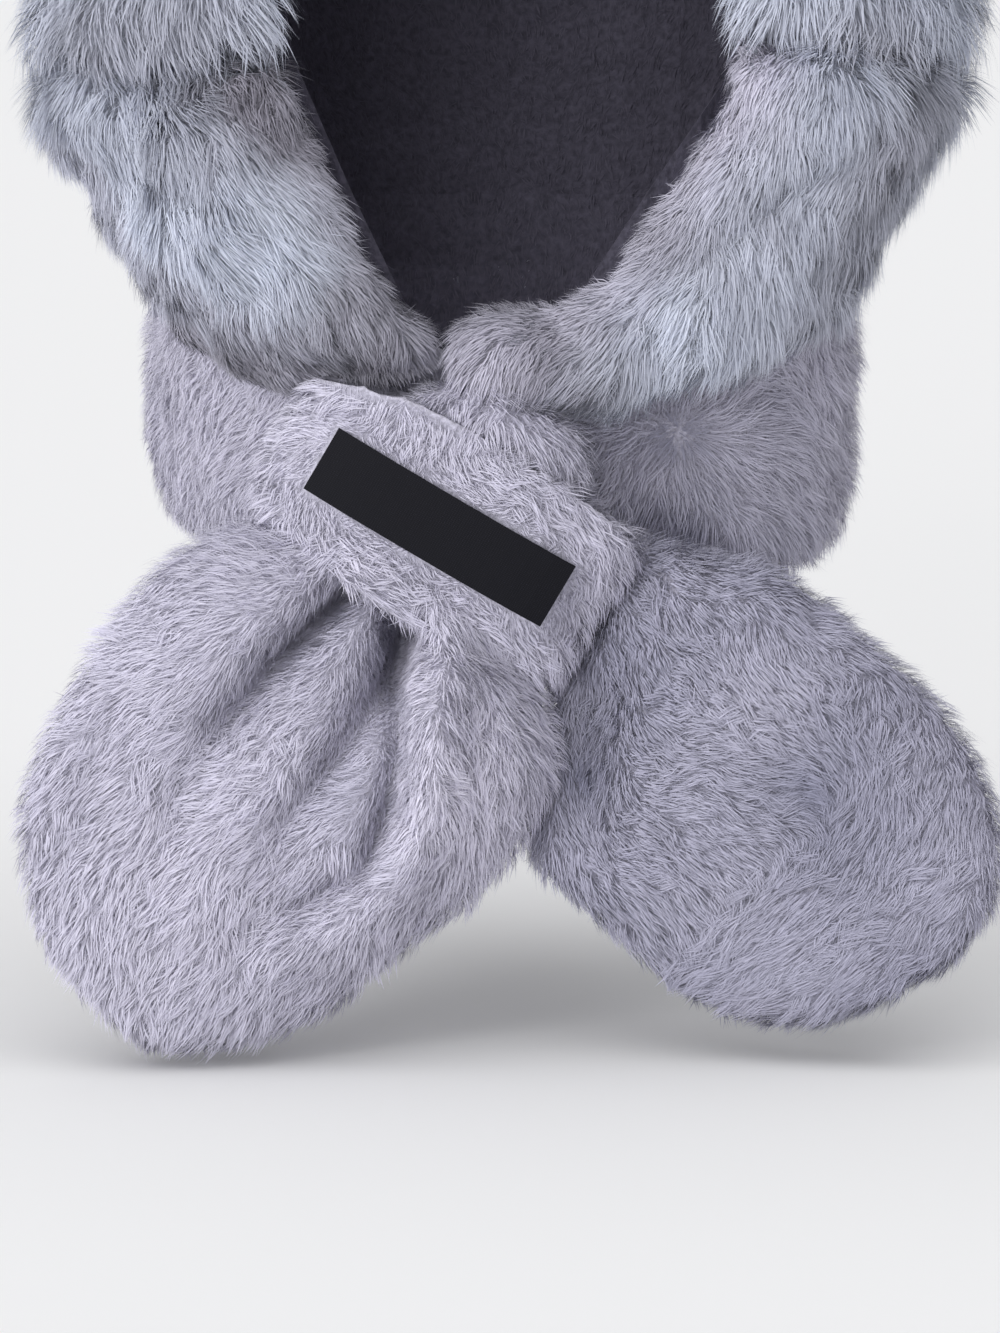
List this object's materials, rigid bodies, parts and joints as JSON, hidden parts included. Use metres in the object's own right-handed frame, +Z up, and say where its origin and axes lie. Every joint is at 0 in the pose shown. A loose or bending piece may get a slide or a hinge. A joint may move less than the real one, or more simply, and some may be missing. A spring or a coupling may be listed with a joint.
{
  "type": "animal hood scarf",
  "caption": "Plush animal hood with deep fur round the face, running on into a scarf whose one end pulls through a padded loop on the other.",
  "frame": {"origin": "where the crown of the head meets the lining inside the hood", "axes": "+Z up out of the crown, -Y the way the face looks, -X the viewer's left"},
  "size_m": [0.3034, 0.2924, 0.508],
  "materials": {
    "plush": "short lavender-grey plush pile",
    "fur_trim": "deep bluish-grey faux fur",
    "fleece": "dark charcoal fleece lining",
    "tag": "black woven tag"
  },
  "bodies": {
    "root": {"hood_shell": "plush", "hood_lining": "fleece", "brim": "fur_trim", "cheek_trim_left": "fur_trim", "cheek_trim_right": "fur_trim", "neck_collar": "plush", "scarf_end_left": "plush", "scarf_end_right": "plush", "keeper_loop": "plush", "label": "tag", "ear_left": "plush", "ear_right": "plush"}
  },
  "joints": []
}
